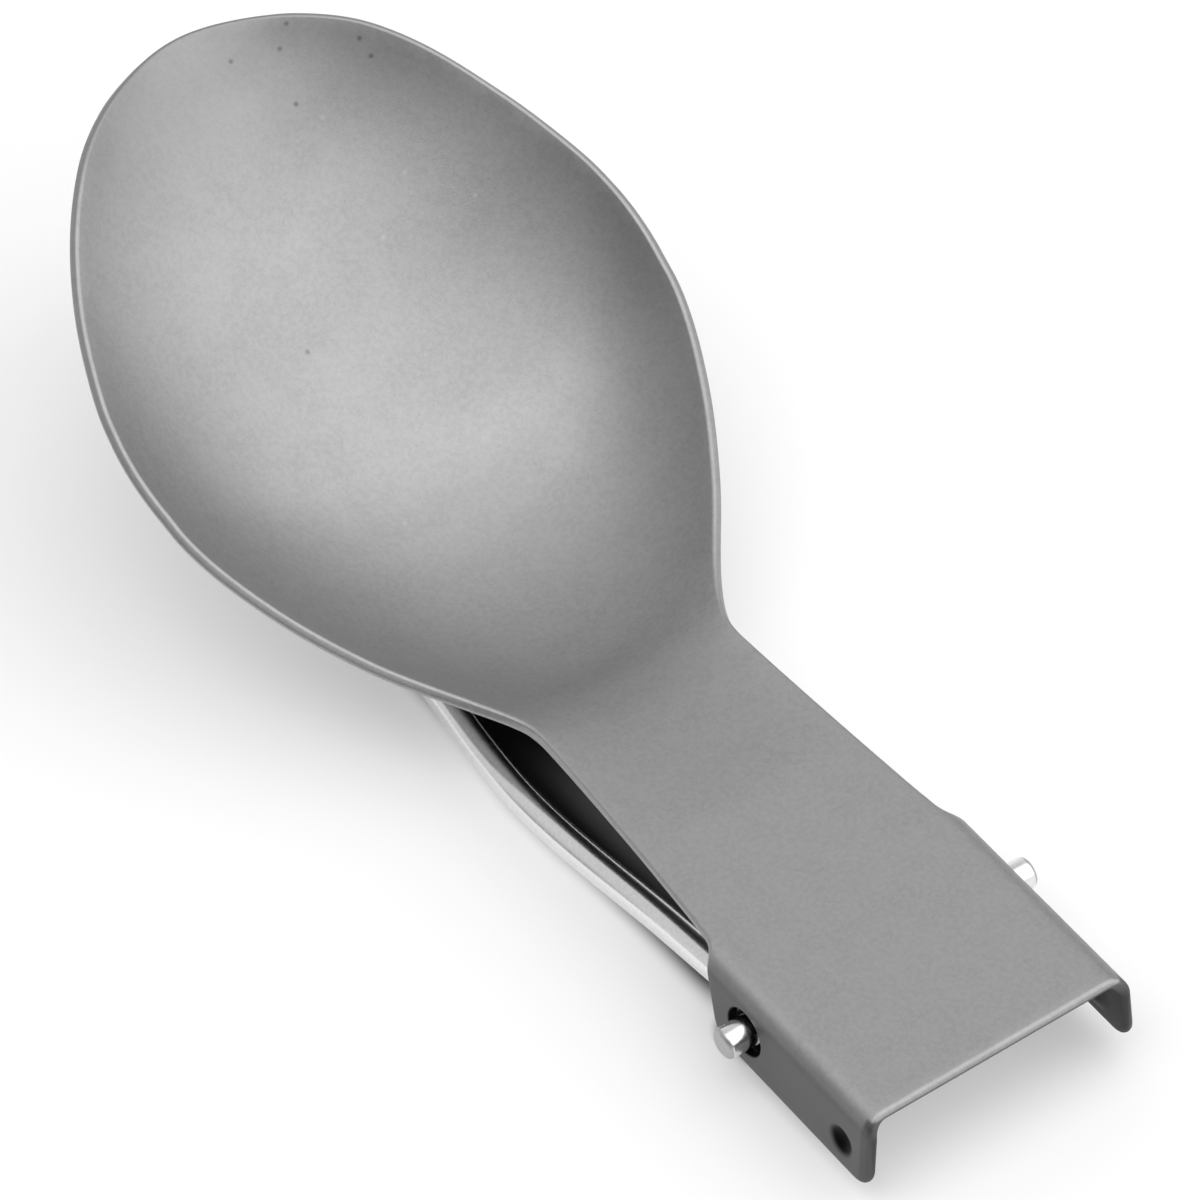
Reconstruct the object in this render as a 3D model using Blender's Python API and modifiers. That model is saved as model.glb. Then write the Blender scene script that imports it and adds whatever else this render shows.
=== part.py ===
"""Folding camping spoon, folded: a pressed sheet head and a bent wire handle.

The head is one sheet: an egg-shaped bowl that rises toward its tip, a flat neck
plate, and a tail folded down into a channel. The handle is one rod bent into a
loop. Its two ends turn outward through a hole in each wall of the channel and
are the hinge pins. Folded, the loop lies under the bowl, and the spoon rests on
its level run. Lengths are in metres. +X points to the tip of the bowl, +Y to the
left and +Z up.
"""
import math

import bmesh
import bpy
from mathutils import Matrix, Vector

COLLECTION_NAME = "folding_spoon"
CUTTER_COLLECTION_NAME = "folding_spoon_cutters"

# Sheet of the head
SHEET_THICKNESS = 0.0008
EDGE_ROUNDING = 0.0003

# Bowl, measured from the narrowest place of the neck
BOWL_LENGTH = 0.0530
BOWL_WIDTH = 0.0397
BOWL_DEPTH = 0.0102
RIM_RISE = 0.0188
WIDEST_PLACE = 0.0286
TIP_ARC_SHARE = 0.42
# The hollow starts this far behind the narrowest place of the neck
HOLLOW_LEAD = 0.0125

# Neck, from its narrowest place to the front of the channel
NECK_LENGTH = 0.0208
NECK_WIDTH = 0.0156

# Channel at the tail, outside sizes
CHANNEL_LENGTH = 0.0177
CHANNEL_WIDTH = 0.0206
CHANNEL_DEPTH = 0.0061
CHANNEL_FLARE = math.radians(4.0)
BEND_RADIUS = 0.0016
BEND_FADE = 0.0045
WALL_SETBACK = 0.0018
WALL_OVERHANG = 0.0004
WALL_CORNER = 0.0016
WALL_FILLET = 0.0015
# Each side of the neck is this much narrower than the channel behind it
SHOULDER_STEP = 0.00105

# Hinge
WIRE_DIAMETER = 0.0022
PIVOT_FROM_TAIL = 0.0129
PIVOT_DROP = 0.0033
PIVOT_CLEARANCE = 0.0006
PIN_REACH = 0.0018
PIN_DOME = 0.0004

# Pressed dimple that holds the open handle
DIMPLE_FROM_TAIL = 0.0025
DIMPLE_DROP = 0.0039
DIMPLE_DIAMETER = 0.0022
DIMPLE_DEPTH = 0.0005
DIMPLE_BUMP = 0.0003
DIMPLE_SEAT = 0.0001

# Handle loop, measured from the pivot when it is folded
HANDLE_LENGTH = 0.0830
HANDLE_WIDTH = 0.0176
LOOP_WIDEST_PLACE = 0.0270
LEG_CLEARANCE = 0.00035
LEG_LENGTH = 0.0110
LEG_SLOPE = math.radians(9.5)
LEVEL_RUN_START = 0.0271
LEVEL_RUN_END = 0.0491
END_SLOPE = math.radians(16.0)
END_RADIUS = 0.0045
PIN_BEND_RADIUS = 0.0018

# Overrun of a cutter past the surface that it cuts
OVERRUN = 0.0010
# Vertices this near each other are joined where the two halves meet
WELD_DISTANCE = 0.00001

# Corners of the sheet steeper than this are rounded
ROUNDED_FROM = math.radians(60.0)
# Edges steeper than this are shaded sharp
SHARP_FROM = math.radians(40.0)

# Width of the neck from the front of the channel (0) to its narrowest place (1)
NECK_SHARES = ((0.0, 0.0), (0.15, 0.19), (0.50, 0.56), (0.80, 0.84), (1.0, 1.0))
# Rim's half width from the narrowest neck (0) to the widest place (1)
FLANK_SHARES = ((0.0, 0.0), (0.08, 0.025), (0.20, 0.17), (0.40, 0.495),
                (0.60, 0.76), (0.80, 0.94), (1.0, 1.0))
# Rim's half width from the widest place (0) to the tip (1), against an ellipse
TIP_SHARES = ((0.0, 1.0), (0.15, 0.986), (0.30, 0.963), (0.45, 0.941), (0.60, 0.912),
              (0.73, 0.875), (0.80, 0.852), (0.87, 0.812), (0.93, 0.755), (1.0, 0.69))
# Rim's height along the bowl, as a share of its rise
RIM_SHARES = ((0.0, 0.0), (0.10, 0.01), (0.20, 0.08), (0.35, 0.24), (0.55, 0.485),
              (0.75, 0.735), (0.88, 0.935), (0.95, 0.985), (1.0, 0.985))
# Bowl's depth below its rim, from the start of the hollow (0) to the tip (1)
DEPTH_SHARES = ((0.0, 0.0), (0.08, 0.03), (0.16, 0.08), (0.20, 0.13), (0.245, 0.22),
                (0.30, 0.40), (0.37, 0.615), (0.445, 0.80), (0.53, 0.945), (0.61, 1.0),
                (0.71, 0.86), (0.80, 0.64), (0.88, 0.475), (0.94, 0.275), (1.0, 0.0))
# Loop's half width from its widest place (1) to the start of its end arc (0)
LOOP_SHARES = ((0.0, 1.0), (0.10, 0.935), (0.20, 0.80), (0.40, 0.555), (0.60, 0.335),
               (0.80, 0.14), (0.92, 0.04), (1.0, 0.0))

# Rod's radius over the rounded end of a pin, from its tip (0)
PIN_END_SHARES = ((0.0, 0.45), (0.25, 0.75), (0.60, 0.93), (1.0, 1.0))

# Counts of rows and columns in the sheet's grid, for one half of the head
INNER_COLUMNS = 7
OUTER_COLUMNS = 6
FLANK_ROWS = 12
FRONT_ROWS = 12
NECK_ROWS = 7
WALL_ROWS = 4
CORNER_ROWS = 4
EDGE_STEPS = 2
HOLE_SIDES = 32
BALL_SIDES = 16
BALL_RINGS = 10
WIRE_STEPS = 4
LOOP_POINTS = 44
BEND_POINTS = 5
ARC_POINTS = 8

# Places worked out from the sizes above, from the tail edge and the plate's top
NECK_PLACE = CHANNEL_LENGTH + NECK_LENGTH
HEAD_LENGTH = NECK_PLACE + BOWL_LENGTH
NECK_REAR_WIDTH = CHANNEL_WIDTH - 2 * SHOULDER_STEP
WIRE_RADIUS = WIRE_DIAMETER / 2
HOLE_RADIUS = WIRE_RADIUS + PIVOT_CLEARANCE
BEND_ANGLE = math.pi / 2 - CHANNEL_FLARE
FLAT_HALF = CHANNEL_WIDTH / 2 - BEND_RADIUS * math.sin(BEND_ANGLE)
BEND_ARC = BEND_RADIUS * BEND_ANGLE
BEND_DROP = BEND_RADIUS * (1 - math.cos(BEND_ANGLE))
WALL_LENGTH = (CHANNEL_DEPTH - BEND_DROP) / math.sin(BEND_ANGLE)
SHEET_HALF = FLAT_HALF + BEND_ARC + WALL_LENGTH
LEG_SPACING = CHANNEL_WIDTH - 2 * (SHEET_THICKNESS + LEG_CLEARANCE) - WIRE_DIAMETER
LEG_DROP = LEG_LENGTH * math.tan(LEG_SLOPE)
LEVEL_DROP = LEG_DROP + (LEVEL_RUN_START - LEG_LENGTH) * math.tan(LEG_SLOPE) / 2
REST_HEIGHT = PIVOT_DROP + LEVEL_DROP + WIRE_RADIUS
FRONT_END = max(HEAD_LENGTH, PIVOT_FROM_TAIL + HANDLE_LENGTH + WIRE_RADIUS)
ORIGIN = Vector(((WALL_OVERHANG - FRONT_END) / 2, 0.0, REST_HEIGHT))


def table_value(shares, share):
    """Read a smooth curve through a table of (place, value) shares."""
    if share <= shares[0][0]:
        return shares[0][1]
    if share >= shares[-1][0]:
        return shares[-1][1]

    def slope(index):
        before = shares[max(index - 1, 0)]
        after = shares[min(index + 1, len(shares) - 1)]
        return (after[1] - before[1]) / (after[0] - before[0])

    index = max(i for i, place in enumerate(shares) if place[0] <= share)
    start, start_value = shares[index]
    end, end_value = shares[index + 1]
    span = end - start
    t = (share - start) / span
    start_slope = slope(index) * span if index > 0 else 0.0
    end_slope = slope(index + 1) * span
    return ((2 * t ** 3 - 3 * t ** 2 + 1) * start_value
            + (t ** 3 - 2 * t ** 2 + t) * start_slope
            + (3 * t ** 2 - 2 * t ** 3) * end_value
            + (t ** 3 - t ** 2) * end_slope)


def mix(start, end, share):
    return start + (end - start) * share


def smooth_step(share):
    share = min(max(share, 0.0), 1.0)
    return share * share * (3 - 2 * share)


# Outline and height of the sheet
def edge_half_width(place):
    """Half width of the neck and the bowl at a place along the head."""
    if place <= NECK_PLACE:
        share = max(place - CHANNEL_LENGTH, 0.0) / NECK_LENGTH
        return mix(NECK_REAR_WIDTH, NECK_WIDTH, table_value(NECK_SHARES, share)) / 2
    along = place - NECK_PLACE
    if along <= WIDEST_PLACE:
        share = table_value(FLANK_SHARES, along / WIDEST_PLACE)
        return mix(NECK_WIDTH, BOWL_WIDTH, share) / 2
    share = min((along - WIDEST_PLACE) / (BOWL_LENGTH - WIDEST_PLACE), 1.0)
    return BOWL_WIDTH / 2 * math.sqrt(1 - share ** 2) * table_value(TIP_SHARES, share)


def edge_place(half_width):
    """Place ahead of the widest one where the bowl has this half width."""
    low = NECK_PLACE + WIDEST_PLACE
    high = HEAD_LENGTH
    for _ in range(60):
        middle = (low + high) / 2
        if edge_half_width(middle) > half_width:
            low = middle
        else:
            high = middle
    return high


def sheet_height(place, side):
    """Height of the upper face over the plate, on circular cross sections."""
    rim = RIM_RISE * table_value(RIM_SHARES, (place - NECK_PLACE) / BOWL_LENGTH)
    hollow_share = (place - NECK_PLACE + HOLLOW_LEAD) / (BOWL_LENGTH + HOLLOW_LEAD)
    depth = BOWL_DEPTH * table_value(DEPTH_SHARES, hollow_share)
    half_width = edge_half_width(place)
    if depth <= 0.0 or side >= half_width:
        return rim
    curvature = 2 * depth / (half_width ** 2 + depth ** 2)
    return rim - depth + curvature * side ** 2 / (1 + math.sqrt(1 - (curvature * side) ** 2))


def bent(side):
    """Side and height of the folded tail at a distance across the flat sheet."""
    if side <= FLAT_HALF:
        return side, 0.0
    if side <= FLAT_HALF + BEND_ARC:
        angle = (side - FLAT_HALF) / BEND_RADIUS
        return FLAT_HALF + BEND_RADIUS * math.sin(angle), BEND_RADIUS * (math.cos(angle) - 1)
    past = side - FLAT_HALF - BEND_ARC
    return CHANNEL_WIDTH / 2 + past * math.cos(BEND_ANGLE), -BEND_DROP - past * math.sin(BEND_ANGLE)


def sheet_point(place, side):
    """Point of the upper face in the neck and the channel."""
    folded_side, folded_height = bent(side)
    fade = 1 - smooth_step((place - CHANNEL_LENGTH) / BEND_FADE)
    height = mix(sheet_height(place, side), folded_height, fade)
    return Vector((place, mix(side, folded_side, fade), height))


def rounded_corner(before, corner, after, radius, count):
    """Points of a flat sheet's corner, rounded between two directions."""
    start = corner + (before - corner).normalized() * radius
    end = corner + (after - corner).normalized() * radius
    points = []
    for i in range(count + 1):
        t = i / count
        points.append(start * (1 - t) ** 2 + corner * 2 * t * (1 - t) + end * t ** 2)
    return points


# Rows of the sheet's grid, each from the middle to the edge
def channel_rows():
    """Rows of the channel, whose walls are cut square behind and sloping ahead."""
    wall_front = CHANNEL_LENGTH - WALL_SETBACK
    wall_top = Vector((-WALL_OVERHANG, FLAT_HALF + BEND_ARC))
    rear_corner = Vector((-WALL_OVERHANG, SHEET_HALF))
    front_corner = Vector((wall_front, SHEET_HALF))
    shoulder = Vector((CHANNEL_LENGTH, edge_half_width(CHANNEL_LENGTH)))
    neck_ahead = CHANNEL_LENGTH + WALL_FILLET
    ahead = Vector((neck_ahead, edge_half_width(neck_ahead)))

    edge = rounded_corner(wall_top, rear_corner, front_corner, WALL_CORNER, CORNER_ROWS)
    bottom_start = edge[-1]
    inner = [mix(0.0, bottom_start.x, (point.x + WALL_OVERHANG) / WALL_CORNER) for point in edge]
    front_arc = rounded_corner(rear_corner, front_corner, shoulder, WALL_CORNER, CORNER_ROWS)
    for i in range(1, WALL_ROWS):
        point = bottom_start.lerp(front_arc[0], i / WALL_ROWS)
        edge.append(point)
        inner.append(point.x)
    fillet = rounded_corner(front_corner, shoulder, ahead, WALL_FILLET, CORNER_ROWS)
    fan = front_arc + [front_arc[-1].lerp(fillet[0], 0.5)] + fillet
    fan_start = front_arc[0].x
    for i, point in enumerate(fan):
        edge.append(point)
        inner.append(mix(fan_start, neck_ahead, i / (len(fan) - 1)))

    rows = []
    for place, outer in zip(inner, edge):
        row = []
        for j in range(INNER_COLUMNS):
            row.append(sheet_point(place, FLAT_HALF * j / INNER_COLUMNS))
        start = min(FLAT_HALF, outer.y)
        for j in range(OUTER_COLUMNS + 1):
            share = j / OUTER_COLUMNS
            lean = smooth_step(2 * share) if outer.x < bottom_start.x else share
            row.append(sheet_point(mix(place, outer.x, lean), mix(start, outer.y, share)))
        rows.append(row)
    return rows


def neck_rows():
    """Rows of the neck, flat up to where the hollow starts."""
    start = CHANNEL_LENGTH + WALL_FILLET
    columns = INNER_COLUMNS + OUTER_COLUMNS
    rows = []
    for i in range(1, NECK_ROWS + 1):
        place = mix(start, NECK_PLACE, i / NECK_ROWS)
        edge = edge_half_width(place)
        inner = mix(FLAT_HALF, edge * INNER_COLUMNS / columns, i / NECK_ROWS)
        row = []
        for j in range(INNER_COLUMNS):
            row.append(sheet_point(place, inner * j / INNER_COLUMNS))
        for j in range(OUTER_COLUMNS + 1):
            row.append(sheet_point(place, mix(inner, edge, j / OUTER_COLUMNS)))
        rows.append(row)
    return rows


def bowl_rows():
    """Rows of the bowl. Ahead of the widest place they curve into the tip's arc."""
    columns = INNER_COLUMNS + OUTER_COLUMNS
    widest = NECK_PLACE + WIDEST_PLACE
    rows = []
    for i in range(1, FLANK_ROWS + 1):
        place = mix(NECK_PLACE, widest, i / FLANK_ROWS)
        edge = edge_half_width(place)
        sides = [edge * j / columns for j in range(columns + 1)]
        rows.append([Vector((place, side, sheet_height(place, side))) for side in sides])
    corner_half = BOWL_WIDTH / 2 * TIP_ARC_SHARE
    corner_place = edge_place(corner_half)
    for i in range(1, FRONT_ROWS + 1):
        share = i / FRONT_ROWS
        middle = mix(widest, HEAD_LENGTH, share)
        outer = mix(widest, corner_place, share)
        edge = edge_half_width(outer)
        row = []
        for j in range(columns + 1):
            across = j / columns
            set_back = HEAD_LENGTH - edge_place(corner_half * across)
            bow = set_back / (HEAD_LENGTH - corner_place)
            place = middle - (middle - outer) * bow
            side = edge * across
            row.append(Vector((place, side, sheet_height(place, side))))
        rows.append(row)
    return rows


# Scene, materials and small helpers
def clear_scene():
    for item in list(bpy.data.objects):
        bpy.data.objects.remove(item, do_unlink=True)


def new_collection(name):
    collection = bpy.data.collections.new(name)
    bpy.context.scene.collection.children.link(collection)
    return collection


def new_material(name, colour, roughness):
    material = bpy.data.materials.new(name)
    material.use_nodes = True
    shader = material.node_tree.nodes["Principled BSDF"]
    shader.inputs["Base Color"].default_value = (*colour, 1.0)
    shader.inputs["Roughness"].default_value = roughness
    shader.inputs["Metallic"].default_value = 1.0
    return material


def add_object(name, mesh, collection, material=None):
    item = bpy.data.objects.new(name, mesh)
    collection.objects.link(item)
    if material is not None:
        mesh.materials.append(material)
    return item


def cutter_object(name, mesh, collection):
    item = add_object(name, mesh, collection)
    item.hide_render = True
    item.display_type = "WIRE"
    return item


def smooth_mesh(mesh):
    mesh.shade_smooth()
    mesh.set_sharp_from_angle(angle=SHARP_FROM)


# Head
def sheet_mesh():
    """Open half of the upper face, from the tail to the tip."""
    rows = channel_rows() + neck_rows() + bowl_rows()
    shape = bmesh.new()
    grid = [[shape.verts.new(point) for point in row] for row in rows]
    for near, far in zip(grid, grid[1:]):
        for j in range(len(near) - 1):
            shape.faces.new((near[j], far[j], far[j + 1], near[j + 1]))
    shape.normal_update()
    mesh = bpy.data.meshes.new("spoon_head")
    shape.to_mesh(mesh)
    shape.free()
    return mesh


def pivot_hole_mesh():
    """Rod across the channel that drills both walls in line."""
    shape = bmesh.new()
    bmesh.ops.create_cone(shape, cap_ends=True, segments=HOLE_SIDES, radius1=HOLE_RADIUS,
                          radius2=HOLE_RADIUS, depth=CHANNEL_WIDTH + PIN_REACH + OVERRUN,
                          matrix=Matrix.Rotation(math.pi / 2, 4, "X"))
    mesh = bpy.data.meshes.new("pivot_holes")
    shape.to_mesh(mesh)
    shape.free()
    return mesh


def dimple_mesh(name, height, inset):
    """Two flattened balls, one on each wall, square to the flared walls.

    Their middles lie a distance inside the wall's outer face.
    """
    past_bend = (DIMPLE_DROP - BEND_DROP) / math.sin(BEND_ANGLE)
    outer_face = CHANNEL_WIDTH / 2 + past_bend * math.cos(BEND_ANGLE)
    side = outer_face - inset / math.cos(CHANNEL_FLARE)
    radius = DIMPLE_DIAMETER / 2
    shape = bmesh.new()
    for hand in (1, -1):
        place = Matrix.Translation((DIMPLE_FROM_TAIL, hand * side, -DIMPLE_DROP))
        tilt = Matrix.Rotation(hand * CHANNEL_FLARE, 4, "X")
        size = Matrix.Diagonal((radius, height, radius, 1.0))
        turn = Matrix.Rotation(math.pi / 2, 4, "X")
        bmesh.ops.create_uvsphere(shape, u_segments=BALL_SIDES, v_segments=BALL_RINGS,
                                  radius=1.0, matrix=place @ tilt @ size @ turn)
    mesh = bpy.data.meshes.new(name)
    shape.to_mesh(mesh)
    shape.free()
    return mesh


def add_boolean(item, operand, operation):
    modifier = item.modifiers.new(operand.name, "BOOLEAN")
    modifier.operation = operation
    modifier.solver = "EXACT"
    modifier.object = operand


def make_head(collection, cutters, material):
    head = add_object("spoon_head", sheet_mesh(), collection, material)
    head.location = ORIGIN
    mirror = head.modifiers.new("other_half", "MIRROR")
    mirror.use_axis = (False, True, False)
    mirror.use_clip = True
    mirror.merge_threshold = WELD_DISTANCE
    thickness = head.modifiers.new("sheet", "SOLIDIFY")
    thickness.thickness = SHEET_THICKNESS
    thickness.offset = -1.0
    thickness.use_even_offset = True
    rounding = head.modifiers.new("rounded_edge", "BEVEL")
    rounding.width = EDGE_ROUNDING
    rounding.segments = EDGE_STEPS
    rounding.limit_method = "ANGLE"
    rounding.angle_limit = ROUNDED_FROM

    bump_mesh = dimple_mesh("dimple_bumps", DIMPLE_BUMP + DIMPLE_SEAT,
                            SHEET_THICKNESS - DIMPLE_SEAT)
    bumps = cutter_object("dimple_bumps", bump_mesh, cutters)
    bumps.location = ORIGIN
    dent_mesh = dimple_mesh("dimple_dents", DIMPLE_DEPTH + DIMPLE_SEAT, -DIMPLE_SEAT)
    dents = cutter_object("dimple_dents", dent_mesh, cutters)
    dents.location = ORIGIN
    holes = cutter_object("pivot_holes", pivot_hole_mesh(), cutters)
    holes.location = ORIGIN + Vector((PIVOT_FROM_TAIL, 0.0, -PIVOT_DROP))
    add_boolean(head, bumps, "UNION")
    add_boolean(head, dents, "DIFFERENCE")
    add_boolean(head, holes, "DIFFERENCE")
    smooth_mesh(head.data)
    return head


# Handle, in a frame with its origin on the pivot
def loop_height(along):
    """Height of the folded loop at a distance ahead of the pivot."""
    slope = math.tan(LEG_SLOPE)
    if along <= LEG_LENGTH:
        return -along * slope
    if along <= LEVEL_RUN_START:
        span = LEVEL_RUN_START - LEG_LENGTH
        past = along - LEG_LENGTH
        return -LEG_DROP - slope * (past - past ** 2 / (2 * span))
    if along <= LEVEL_RUN_END:
        return -LEVEL_DROP
    span = HANDLE_LENGTH - LEVEL_RUN_END
    past = along - LEVEL_RUN_END
    return -LEVEL_DROP + math.tan(END_SLOPE) * past ** 2 / (2 * span)


def loop_half_width(along):
    """Half width of the loop up to where its end arc begins."""
    if along <= LEG_LENGTH:
        return LEG_SPACING / 2
    if along <= LOOP_WIDEST_PLACE:
        share = smooth_step((along - LEG_LENGTH) / (LOOP_WIDEST_PLACE - LEG_LENGTH))
        return mix(LEG_SPACING, HANDLE_WIDTH, share) / 2
    span = HANDLE_LENGTH - END_RADIUS - LOOP_WIDEST_PLACE
    share = table_value(LOOP_SHARES, (along - LOOP_WIDEST_PLACE) / span)
    return mix(END_RADIUS, HANDLE_WIDTH / 2, share)


def half_loop_points():
    """Centre line of one side, from the pin's end to the middle of the loop's end."""
    wall_face = CHANNEL_WIDTH / 2 + (PIVOT_DROP - BEND_DROP) / math.tan(BEND_ANGLE)
    pin_end = wall_face + PIN_REACH
    bend_side = LEG_SPACING / 2 + PIN_BEND_RADIUS
    points = []
    for share, _ in PIN_END_SHARES:
        points.append(Vector((0.0, pin_end - PIN_DOME * share, 0.0)))
    points.append(Vector((0.0, (pin_end - PIN_DOME + bend_side) / 2, 0.0)))
    for i in range(BEND_POINTS + 1):
        angle = math.pi / 2 * i / BEND_POINTS
        along = PIN_BEND_RADIUS * (1 - math.cos(angle))
        side = bend_side - PIN_BEND_RADIUS * math.sin(angle)
        points.append(Vector((along, side, loop_height(along))))
    run_end = HANDLE_LENGTH - END_RADIUS
    for i in range(1, LOOP_POINTS + 1):
        along = mix(PIN_BEND_RADIUS, run_end, i / LOOP_POINTS)
        points.append(Vector((along, loop_half_width(along), loop_height(along))))
    for i in range(1, ARC_POINTS + 1):
        angle = math.pi / 2 * i / ARC_POINTS
        along = run_end + END_RADIUS * math.sin(angle)
        points.append(Vector((along, END_RADIUS * math.cos(angle), loop_height(along))))
    return points


def make_handle(collection, material):
    half = half_loop_points()
    other = [Vector((point.x, -point.y, point.z)) for point in reversed(half[:-1])]
    points = half + other
    curve = bpy.data.curves.new("wire_handle", "CURVE")
    curve.dimensions = "3D"
    curve.bevel_depth = WIRE_RADIUS
    curve.bevel_resolution = WIRE_STEPS
    curve.use_fill_caps = True
    spline = curve.splines.new("POLY")
    spline.points.add(len(points) - 1)
    for point, place in zip(spline.points, points):
        point.co = (*place, 1.0)
    for i, (_, share) in enumerate(PIN_END_SHARES):
        spline.points[i].radius = share
        spline.points[-1 - i].radius = share
    handle = bpy.data.objects.new("wire_handle", curve)
    collection.objects.link(handle)
    curve.materials.append(material)
    handle.location = ORIGIN + Vector((PIVOT_FROM_TAIL, 0.0, -PIVOT_DROP))
    return handle


def main():
    clear_scene()
    parts = new_collection(COLLECTION_NAME)
    cutters = new_collection(CUTTER_COLLECTION_NAME)
    blasted = new_material("blasted_titanium", (0.36, 0.36, 0.37), 0.50)
    drawn = new_material("drawn_titanium", (0.55, 0.55, 0.56), 0.28)
    make_head(parts, cutters, blasted)
    make_handle(parts, drawn)


main()
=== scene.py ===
"""Looks of a folding camping spoon: a blasted sheet head and a polished wire handle.

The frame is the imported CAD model. Both of its nodes are replaced by finer meshes of
the same shape. They are made from the same sizes, apart from the bowl's width and the
rounding of the edges. The stage is a pale floor under one large soft lamp, in a studio
with two broad glows. Lengths are in metres. +X points to the tip of the bowl, +Y to
the left and +Z up. Places along the head are measured from its tail edge, and drops
from the top of the neck plate.
"""
import math

import bmesh
import bpy
import numpy as np
from mathutils import Matrix, Vector
from mathutils.geometry import delaunay_2d_cdt


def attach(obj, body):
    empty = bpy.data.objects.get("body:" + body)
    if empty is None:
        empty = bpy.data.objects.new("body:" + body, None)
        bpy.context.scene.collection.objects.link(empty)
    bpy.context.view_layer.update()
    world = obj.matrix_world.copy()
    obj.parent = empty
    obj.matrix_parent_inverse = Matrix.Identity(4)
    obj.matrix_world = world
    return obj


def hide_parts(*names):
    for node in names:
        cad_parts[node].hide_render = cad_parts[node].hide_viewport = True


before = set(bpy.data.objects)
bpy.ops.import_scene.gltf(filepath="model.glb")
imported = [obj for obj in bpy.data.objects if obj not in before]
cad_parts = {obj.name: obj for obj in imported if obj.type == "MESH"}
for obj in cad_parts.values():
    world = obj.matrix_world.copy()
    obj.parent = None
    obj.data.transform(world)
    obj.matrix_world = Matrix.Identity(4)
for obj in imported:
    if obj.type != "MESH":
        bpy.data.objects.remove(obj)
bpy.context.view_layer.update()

# Sheet of the head, and the rounding of its edge at the tail and round the bowl
SHEET_THICKNESS = 0.0008
EDGE_ROUNDING = 0.00038
RIM_ROUNDING = 0.00026

# Bowl, measured from the narrowest place of the neck. The rounding of its edge takes
# some of the width away again, so that the finished bowl is as wide as the CAD model's
BOWL_LENGTH = 0.0530
BOWL_WIDTH = 0.0401
BOWL_DEPTH = 0.0102
RIM_RISE = 0.0188
WIDEST_PLACE = 0.0286
# The outline's turn at the widest place is eased over this length to each side
WIDEST_EASE = 0.0026
# The hollow starts this far behind the narrowest place of the neck
HOLLOW_LEAD = 0.0125

# Neck, from its narrowest place to the front of the channel
NECK_LENGTH = 0.0208
NECK_WIDTH = 0.0156

# Channel at the tail, outside sizes
CHANNEL_LENGTH = 0.0177
CHANNEL_WIDTH = 0.0206
CHANNEL_DEPTH = 0.0061
CHANNEL_FLARE = math.radians(4.0)
BEND_RADIUS = 0.0016
BEND_FADE = 0.0045
WALL_SETBACK = 0.0018
WALL_OVERHANG = 0.0004
WALL_CORNER = 0.0016
WALL_FILLET = 0.0015
SHOULDER_STEP = 0.00105

# Hinge
WIRE_DIAMETER = 0.0022
PIVOT_FROM_TAIL = 0.0129
PIVOT_DROP = 0.0033
PIVOT_CLEARANCE = 0.0006
HOLE_ROUNDING = 0.0002
PIN_REACH = 0.0018
PIN_DOME = 0.0004

# Pressed dimple
DIMPLE_FROM_TAIL = 0.0025
DIMPLE_DROP = 0.0039
DIMPLE_SPREAD = 0.0014
DIMPLE_DEPTH = 0.0005
DIMPLE_BUMP = 0.0003

# Handle loop, measured from the pivot when it is folded
HANDLE_LENGTH = 0.0830
HANDLE_WIDTH = 0.0176
LOOP_WIDEST_PLACE = 0.0270
LEG_CLEARANCE = 0.00035
LEG_LENGTH = 0.0110
LEG_SLOPE = math.radians(9.5)
LEVEL_RUN_START = 0.0271
LEVEL_RUN_END = 0.0491
END_SLOPE = math.radians(16.0)
END_RADIUS = 0.0045
PIN_BEND_RADIUS = 0.0018

# Vertices this near each other are joined
WELD_DISTANCE = 0.00001
# Step over which the sheet's slope is measured
SURFACE_STEP = 0.00002
# The flat pattern is divided into triangles in millimetres, points this near are one
FLAT_SCALE = 0.001
WELD_SHARE = 0.00001
# Edges of the rod that turn by more than this are shaded sharp
SHARP_FROM = math.radians(50.0)

# Shares of the sizes above along the sheet and the loop
NECK_SHARES = ((0.0, 0.0), (0.15, 0.19), (0.50, 0.56), (0.80, 0.84), (1.0, 1.0))
FLANK_SHARES = ((0.0, 0.0), (0.08, 0.025), (0.20, 0.17), (0.40, 0.495),
                (0.60, 0.76), (0.80, 0.94), (1.0, 1.0))
TIP_SHARES = ((0.0, 1.0), (0.15, 0.986), (0.30, 0.963), (0.45, 0.941), (0.60, 0.912),
              (0.73, 0.875), (0.80, 0.852), (0.87, 0.812), (0.93, 0.755), (1.0, 0.69))
RIM_SHARES = ((0.0, 0.0), (0.10, 0.01), (0.20, 0.08), (0.35, 0.24), (0.55, 0.485),
              (0.75, 0.735), (0.88, 0.935), (0.95, 0.985), (1.0, 0.985))
DEPTH_SHARES = ((0.0, 0.0), (0.08, 0.03), (0.16, 0.08), (0.20, 0.13), (0.245, 0.22),
                (0.30, 0.40), (0.37, 0.615), (0.445, 0.80), (0.53, 0.945), (0.61, 1.0),
                (0.71, 0.86), (0.80, 0.64), (0.88, 0.475), (0.94, 0.275), (1.0, 0.0))
LOOP_SHARES = ((0.0, 1.0), (0.10, 0.935), (0.20, 0.80), (0.40, 0.555), (0.60, 0.335),
               (0.80, 0.14), (0.92, 0.04), (1.0, 0.0))
PIN_END_SHARES = ((0.0, 0.62), (0.08, 0.73), (0.20, 0.83), (0.40, 0.92), (0.70, 0.98),
                  (1.0, 1.0))

# Spacing of the sheet's points, inside and along its edge. Every other row is shifted
# by a share of the spacing each way, and points nearer to an edge than a share are left out
GRID_STEP = 0.0005
EDGE_STEP = 0.00025
ROW_SHIFT = 0.25
EDGE_GAP = 0.45

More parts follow.
